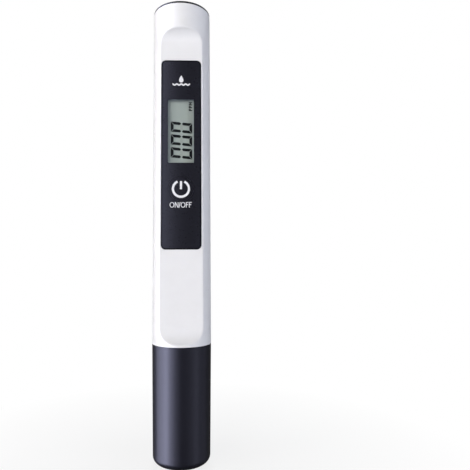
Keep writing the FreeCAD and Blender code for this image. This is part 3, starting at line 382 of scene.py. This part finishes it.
def ring(centre, radii, start=0.0, end=360.0, steps=48):
    """Points along an ellipse from start to end degrees, counted from +x towards +z."""
    points = []
    for i in range(steps + 1):
        turn = math.radians(start + (end - start) * i / steps)
        points.append((centre[0] + radii[0] * math.cos(turn), centre[1] + radii[1] * math.sin(turn)))
    return points


def stroke(centre_line, width):
    """A ribbon of even width along a line of points, as one closed outline."""
    left, right = [], []
    for i, (x, z) in enumerate(centre_line):
        before = centre_line[max(i - 1, 0)]
        after = centre_line[min(i + 1, len(centre_line) - 1)]
        dx, dz = after[0] - before[0], after[1] - before[1]
        length = math.hypot(dx, dz)
        nx, nz = -dz / length * width / 2, dx / length * width / 2
        left.append((x + nx, z + nz))
        right.append((x - nx, z - nz))
    return left + right[::-1]


def box_mm(name):
    """A CAD piece's lower and upper corner in mm."""
    return [[v / MM for v in corner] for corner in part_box(name)]


panel_low, panel_high = box_mm("front_panel")
key_low, key_high = box_mm("power_key")
window_low, window_high = box_mm("display_window")
panel_face, key_face = panel_low[1], key_low[1]
glass_face = box_mm("lcd_front_plate")[0][1]
key_z = (key_low[2] + key_high[2]) / 2
window_z = (window_low[2] + window_high[2]) / 2

# Thickness of the print, thickness of thin layers, and how far the segments lie off the glass
PRINT, FILM, SEGMENT_LIFT = 0.02, 0.012, 0.03

# Power sign on the key: an open ring with a bar in its gap
RING_X, RING_RADIUS, RING_STROKE, GAP = -0.08, 2.6, 0.74, 25.0
BAR_X, BAR_WIDTH, BAR_LOW, BAR_HIGH = -0.07, 0.68, -0.12, 2.56
sign = stroke(ring((RING_X, key_z), (RING_RADIUS, RING_RADIUS), 90 + GAP, 450 - GAP, 60), RING_STROKE)
bar = rectangle(BAR_X - BAR_WIDTH / 2, key_z + BAR_LOW, BAR_X + BAR_WIDTH / 2, key_z + BAR_HIGH)
plate("power_sign", [bar], key_face - PRINT, PRINT, print_white, "power_key")
plate("power_sign_ring", [sign], key_face - PRINT, PRINT, print_white, "power_key")


# Letters of ON/OFF, with strokes pen mm wide: each gives its plain outlines and its holed ones

def letter_o(left, low, width, height, pen):
    centre = (left + width / 2, low + height / 2)
    outer = ring(centre, (width / 2, height / 2))[:-1]
    inner = ring(centre, (width / 2 - pen, height / 2 - pen))[:-1]
    return [], [(outer, inner)]


def letter_n(left, low, width, height, pen):
    right, top, slope = left + width, low + height, pen * 1.25
    return [[(left, low), (left + pen, low), (left + pen, top - slope * 1.3),
             (right - slope, low), (right, low), (right, top), (right - pen, top),
             (right - pen, low + slope * 1.3), (left + slope, top), (left, top)]], []


def letter_f(left, low, width, height, pen):
    right, top, middle = left + width, low + height, low + height * 0.47
    return [[(left, low), (left + pen, low), (left + pen, middle), (right - pen * 0.5, middle),
             (right - pen * 0.5, middle + pen), (left + pen, middle + pen),
             (left + pen, top - pen), (right, top - pen), (right, top), (left, top)]], []


def letter_slash(left, low, width, height, pen):
    return [[(left, low), (left + pen, low), (left + width, low + height),
             (left + width - pen, low + height)]], []


# ON/OFF under the key: each letter, its width and the gap after it
TEXT_LEFT, TEXT_LOW, TEXT_HEIGHT, TEXT_PEN = -3.72, key_z - 6.14, 1.82, 0.22
TEXT = ((letter_o, 1.5, 0.17), (letter_n, 1.16, 0.06), (letter_slash, 0.64, 0.04),
        (letter_o, 1.5, 0.17), (letter_f, 0.86, 0.14), (letter_f, 0.86, 0))
outlines, holes, cursor = [], [], TEXT_LEFT
for letter, width, gap in TEXT:
    plain, holed = letter(cursor, TEXT_LOW, width, TEXT_HEIGHT, TEXT_PEN)
    outlines += plain
    holes += holed
    cursor += width + gap
plate("on_off_print", outlines, panel_face - PRINT, PRINT, print_white, "meter_body",
      holes)

# A drop over a row of small waves, at the head of the panel
MARK_Z, MARK_STEPS = window_z + 16.95, 64
DROP_HALF_WIDTH, DROP_HALF_HEIGHT, DROP_RISE, DROP_POINT = 1.02, 1.22, 0.42, 1.35
WAVE_LENGTH, WAVE_SWING, WAVE_FALL, WAVE_STROKE, WAVE_COUNT = 5.8, 0.2, 1.5, 0.46, 4
drop, wave = [], []
for i in range(MARK_STEPS + 1):
    share = i / MARK_STEPS
    turn = 2 * math.pi * share
    drop.append((DROP_HALF_WIDTH * math.sin(turn) * math.sin(turn / 2) ** DROP_POINT,
                 MARK_Z + DROP_RISE + DROP_HALF_HEIGHT * math.cos(turn)))
    wave.append((WAVE_LENGTH * (share - 0.5),
                 MARK_Z - WAVE_FALL + WAVE_SWING * math.cos(WAVE_COUNT * turn)))
plate("drop_mark", [drop[:-1], stroke(wave, WAVE_STROKE)], panel_face - PRINT, PRINT, print_white,
      "meter_body")


# Display digits, read from the bottom up, their tops towards -x

DIGIT_WIDTH, DIGIT_HEIGHT, SEGMENT, CUT = 3.46, 7.08, 0.94, 0.09
DIGIT_FOOT_X, FIRST_DIGIT, DIGIT_STEP = 3.58, window_z - 9.25, 4.32
SLANT = math.tan(math.radians(5.5))


def upside_down(points, height):
    return [(x, height - y) for x, y in points]


def segments(width, height, pen, cut):
    """The seven segments' outlines, in the digit's own right and up, by letter."""
    mid = height / 2
    upper_left = [(0, height - cut), (pen, height - pen - cut), (pen, mid + pen / 2 + cut),
                  (pen / 2, mid + cut), (0, mid + cut + pen / 2)]
    upper_right = [(width - x, y) for x, y in upper_left]
    top = [(cut, height), (width - cut, height), (width - pen - cut, height - pen),
           (pen + cut, height - pen)]
    middle = [(pen / 2 + cut, mid), (pen + cut, mid + pen / 2), (width - pen - cut, mid + pen / 2),
              (width - pen / 2 - cut, mid), (width - pen - cut, mid - pen / 2),
              (pen + cut, mid - pen / 2)]
    return {"a": top, "b": upper_right, "c": upside_down(upper_right, height),
            "d": upside_down(top, height), "e": upside_down(upper_left, height),
            "f": upper_left, "g": middle}


def laid_down(points, start):
    """Turns a digit's right and up into z and -x."""
    return [(DIGIT_FOOT_X - y, start + x + y * SLANT) for x, y in points]


lit, unlit = [], []
for digit in range(3):
    start = FIRST_DIGIT + DIGIT_STEP * digit
    for letter, points in segments(DIGIT_WIDTH, DIGIT_HEIGHT, SEGMENT, CUT).items():
        (unlit if letter == "g" else lit).append(laid_down(points, start))
segment_front = glass_face - SEGMENT_LIFT
plate("display_digits", lit, segment_front, FILM, segment_ink, "meter_body")
plate("display_unlit", unlit, segment_front, FILM, ghost_ink, "meter_body")


# The unit, PPM, at the display's upper right, turned the same way as the digits

UNIT_LOW, UNIT_FOOT_X, UNIT_HEIGHT, UNIT_PEN = window_z + 7.1, 3.56, 1.12, 0.3
P_WIDTH, M_WIDTH, UNIT_STEP = 0.82, 1.05, 0.96


def letter_p(width):
    """A capital P: its stem with the bowl's two straight runs, then the bowl's half round."""
    top, bowl, run = UNIT_HEIGHT, UNIT_HEIGHT * 0.58, UNIT_PEN * 0.8
    foot, bend = top - bowl, width - bowl / 2
    stem = [(0, 0), (UNIT_PEN, 0), (UNIT_PEN, foot), (bend, foot), (bend, foot + run),
            (UNIT_PEN, foot + run), (UNIT_PEN, top - run), (bend, top - run), (bend, top), (0, top)]
    middle = (bend, top - bowl / 2)
    outer = ring(middle, (bowl / 2, bowl / 2), -90, 90, 12)
    inner = ring(middle, (bowl / 2 - UNIT_PEN, bowl / 2 - run), -90, 90, 12)
    return [stem, outer + inner[::-1]]


def letter_m(width):
    """A capital M, its middle reaching down to a fifth of its height."""
    pen, top, half, right = UNIT_PEN, UNIT_HEIGHT, width / 2, width - UNIT_PEN
    return [[(0, 0), (pen, 0), (pen, top * 0.55), (half, top * 0.2), (right, top * 0.55),
             (right, 0), (width, 0), (width, top), (right, top), (half, top * 0.52),
             (pen, top), (0, top)]]


marks = []
for i, shapes in enumerate((letter_p(P_WIDTH), letter_p(P_WIDTH), letter_m(M_WIDTH))):
    for outline in shapes:
        marks.append([(UNIT_FOOT_X - up, UNIT_LOW + UNIT_STEP * i + right) for right, up in outline])
plate("display_unit", marks, segment_front, FILM, segment_ink, "meter_body")


# The film's edge and the window's border

FILM_CORNER, EDGE_START, EDGE_END = 1.45, 0.1, 0.42


def film_outline(inset):
    """The film's rounded outline, inset mm inside its edge, from the upper right corner on."""
    radius = FILM_CORNER - inset
    points = []
    for sx, sz, start in ((1, 1, 0), (-1, 1, 90), (-1, -1, 180), (1, -1, 270)):
        centre = ((panel_high[0] if sx > 0 else panel_low[0]) - sx * FILM_CORNER,
                  (panel_high[2] if sz > 0 else panel_low[2]) - sz * FILM_CORNER)
        points += ring(centre, (radius, radius), start, start + 90, 8)
    return points


# Painted shade: a dark line along the film's cut edge, where its bevel falls in shade
plate("film_edge_shade", [], panel_face - FILM, FILM, edge_shade_ink, "meter_body",
      [(film_outline(EDGE_START), film_outline(EDGE_END))])

# A printed border that shows at the window's right and top. The window reaches 0.68 mm under the
# panel on every side, so the narrower left and lower borders are hidden
BORDER_LEFT, BORDER_RIGHT, BORDER_TOP, BORDER_BOTTOM = 0.04, 0.90, 0.96, 0.12
rim = rectangle(window_low[0], window_low[2], window_high[0], window_high[2])
clear = rectangle(window_low[0] + BORDER_LEFT, window_low[2] + BORDER_BOTTOM,
                  window_high[0] - BORDER_RIGHT, window_high[2] - BORDER_TOP)
plate("window_border", [], window_low[1] - FILM, FILM, materials["black_panel"], "meter_body",
      [(rim, clear)])


# Thread ridge on the battery cap's plug

THREAD_ROOT, THREAD_CREST, THREAD_PITCH = 8.2, 8.32, 1.5
THREAD_START, THREAD_END = 0.5, 3.6
# The ridge's foot: how far it sinks into the plug, and half its width
THREAD_SINK, THREAD_HALF = 0.08, 0.42
STEPS_PER_TURN, FADE_STEPS, LEAST_WIDTH = 72, 30, 0.3


def thread_ridge(name, low, high, body, material):
    """A helical ridge of triangular section, tapering away at both ends."""
    turns = (high - low) / THREAD_PITCH
    count = int(turns * STEPS_PER_TURN)
    foot = THREAD_ROOT - THREAD_SINK
    vertices, faces = [], []
    for i in range(count + 1):
        share = i / count
        turn = 2 * math.pi * turns * share
        fade = min(1.0, i / FADE_STEPS, (count - i) / FADE_STEPS)
        crest = THREAD_ROOT + (THREAD_CREST - THREAD_ROOT) * fade
        z = low + (high - low) * share
        for radius, rise in ((foot, -THREAD_HALF), (crest, 0), (foot, THREAD_HALF)):
            vertices.append((radius * math.cos(turn), radius * math.sin(turn),
                             z + rise * max(fade, LEAST_WIDTH)))
    for i in range(count):
        a, b = 3 * i, 3 * i + 3
        faces += [(a, a + 1, b + 1, b), (a + 1, a + 2, b + 2, b + 1), (a + 2, a, b, b + 2)]
    faces += [(2, 1, 0), (3 * count, 3 * count + 1, 3 * count + 2)]
    add_piece(name, vertices, faces, material, body)


cap_low = box_mm("battery_cap")[0][2]
thread_ridge("battery_cap_thread", cap_low + THREAD_START, cap_low + THREAD_END, "battery_cap",
             materials["black_plastic"])


# World, floor, lamps and camera

AMBIENT, ROOM = 0.2, 0.12
# How nearly straight behind the object a glossy ray must go to see the white backdrop
BACKDROP_START, BACKDROP_END = 0.95, 0.99


def make_world():
    """White to the camera; to gloss a dim room, white straight behind; faint light otherwise."""
    world = bpy.data.worlds.new("studio")
    bpy.context.scene.world = world
    world.use_nodes = True
    tree = world.node_tree
    tree.nodes.clear()
    output = node(tree, "ShaderNodeOutputWorld")
    path = node(tree, "ShaderNodeLightPath")
    camera_ray = path.outputs["Is Camera Ray"]
    seen = computed(tree, "MAXIMUM", camera_ray, path.outputs["Is Glossy Ray"])
    seen = computed(tree, "MAXIMUM", seen, path.outputs["Is Transmission Ray"])
    ambient = node(tree, "ShaderNodeBackground")
    ambient.inputs["Color"].default_value = (0.95, 0.975, 1.0, 1)
    ambient.inputs["Strength"].default_value = AMBIENT
    direction = node(tree, "ShaderNodeTexCoord")
    parts = node(tree, "ShaderNodeSeparateXYZ")
    tree.links.new(direction.outputs["Generated"], parts.inputs["Vector"])
    behind = spread(tree, parts.outputs["Y"], ROOM, 1.0, BACKDROP_START, BACKDROP_END)
    backdrop = node(tree, "ShaderNodeBackground")
    backdrop.inputs["Color"].default_value = (1, 1, 1, 1)
    tree.links.new(computed(tree, "MAXIMUM", behind, camera_ray), backdrop.inputs["Strength"])
    mixed_shaders(tree, output, seen, ambient.outputs["Background"], backdrop.outputs["Background"])


FLOOR_SIDE, FLOOR_CELLS, FLOOR_DROP = 6.0, 12, 0.0001
# Share of plain white that the camera sees on the floor, by the distance from the object
WHITE_NEAR, WHITE_FAR, NEAR, FAR = 0.8, 1.0, 0.02, 0.10


def make_floor():
    """A pale floor: white to the camera away from the object, with its soft shadow near it."""
    material, tree, shader, output = new_material("floor_white")
    link = tree.links.new
    shader.inputs["Base Color"].default_value = (0.86, 0.87, 0.88, 1)
    link(spread(tree, noise(tree, 60), 0.55, 0.7), shader.inputs["Roughness"])
    shader.inputs["Specular IOR Level"].default_value = 0.15
    place = node(tree, "ShaderNodeTexCoord")
    distance = node(tree, "ShaderNodeVectorMath", operation="LENGTH")
    link(place.outputs["Object"], distance.inputs[0])
    white = spread(tree, distance.outputs["Value"], WHITE_NEAR, WHITE_FAR, NEAR, FAR)
    path = node(tree, "ShaderNodeLightPath")
    glow = node(tree, "ShaderNodeEmission")
    glow.inputs["Color"].default_value = (1, 1, 1, 1)
    glow.inputs["Strength"].default_value = 1.0
    mixed_shaders(tree, output, computed(tree, "MULTIPLY", path.outputs["Is Camera Ray"], white),
                  shader.outputs["BSDF"], glow.outputs["Emission"])
    row = FLOOR_CELLS + 1
    vertices = [(FLOOR_SIDE * (i / FLOOR_CELLS - 0.5), FLOOR_SIDE * (j / FLOOR_CELLS - 0.5), 0)
                for j in range(row) for i in range(row)]
    faces = [(j * row + i, j * row + i + 1, (j + 1) * row + i + 1, (j + 1) * row + i)
             for j in range(FLOOR_CELLS) for i in range(FLOOR_CELLS)]
    mesh = bpy.data.meshes.new("floor")
    mesh.from_pydata(vertices, [], faces)
    mesh.materials.append(material)
    floor = bpy.data.objects.new("floor", mesh)
    floor.location.z = -FLOOR_DROP
    floor.visible_glossy = False
    bpy.context.collection.objects.link(floor)


make_world()
make_floor()

WARM, COOL = (1.0, 0.955, 0.90), (0.84, 0.865, 1.0)
NEUTRAL, BLUISH = (0.97, 0.985, 1.0), (0.71, 0.73, 1.0)
AIM_Z = 0.075
# Distance and size of the panes that light the object and of the strips that its gloss shows
PANE_DISTANCE, PANE = 0.9, (0.4, 0.6)
STRIP_DISTANCE, STRIP = 0.62, (0.22, 1.0)


def softbox(name, azimuth, rise, watts, colour, strip=False):
    """An area lamp at an azimuth, from the front towards the right; a strip only shows in gloss."""
    lamp = bpy.data.lights.new(name, "AREA")
    lamp.shape = "RECTANGLE"
    distance, (lamp.size, lamp.size_y) = (STRIP_DISTANCE, STRIP) if strip else (PANE_DISTANCE, PANE)
    lamp.energy = watts
    lamp.color = colour
    # Strips reach below the floor and mustn't be hidden by it
    lamp.use_shadow = not strip
    item = bpy.data.objects.new(name, lamp)
    bpy.context.collection.objects.link(item)
    turn, lift = math.radians(azimuth), math.radians(rise)
    target = Vector((0, 0, AIM_Z))
    item.location = target + distance * Vector((math.sin(turn) * math.cos(lift),
                                                -math.cos(turn) * math.cos(lift), math.sin(lift)))
    item.rotation_euler = (target - item.location).to_track_quat("-Z", "Y").to_euler()
    item.visible_glossy = strip
    item.visible_diffuse = not strip


# The key from the left, its fill, and the cooler side and back light shape the white plastic
softbox("key", -68, 5, 5.3, WARM)
softbox("key_fill", -30, 5, 4.3, WARM)
softbox("side_fill", 60, 5, 3.45, COOL)
softbox("back_fill", 180, 25, 3.8, NEUTRAL)

# A bank of tall strips, brightest at the left, is what the gloss shows: azimuth and watts
SHINE = ((-100, 4.4), (-80, 8.8), (-60, 16.2), (-40, 6.5), (-20, 1.65), (20, 0.44), (40, 0.96),
         (60, 1.9), (80, 0.6), (100, 0.5))
for azimuth, watts in SHINE:
    softbox(f"shine_{azimuth}", azimuth, 2, watts, BLUISH, strip=True)

# The camera: picture width, focal length and the photograph's sideways crop in pixels
IMAGE, FOCAL, CROP_SHIFT = 470, 450.1, 24.0
SENSOR = 36.0
EYE = (0.00465, -0.15178, 0.06290)
YAW, PITCH, ROLL = math.radians(1.965), math.radians(4.008), math.radians(-0.231)
camera_data = bpy.data.cameras.new("camera")
camera_data.sensor_width = SENSOR
camera_data.sensor_fit = "HORIZONTAL"
camera_data.lens = FOCAL / IMAGE * SENSOR
camera_data.shift_x = CROP_SHIFT / IMAGE
camera_data.clip_start = 0.01
camera_data.clip_end = 20
camera = bpy.data.objects.new("camera", camera_data)
bpy.context.collection.objects.link(camera)
camera.location = EYE
aim = Vector((math.sin(YAW), math.cos(YAW), math.tan(PITCH)))
camera.rotation_mode = "QUATERNION"
camera.rotation_quaternion = aim.to_track_quat("-Z", "Y")
camera.rotation_mode = "XYZ"
camera.rotation_euler.rotate_axis("Z", ROLL)
bpy.context.scene.camera = camera
bpy.context.scene.view_settings.view_transform = "Standard"
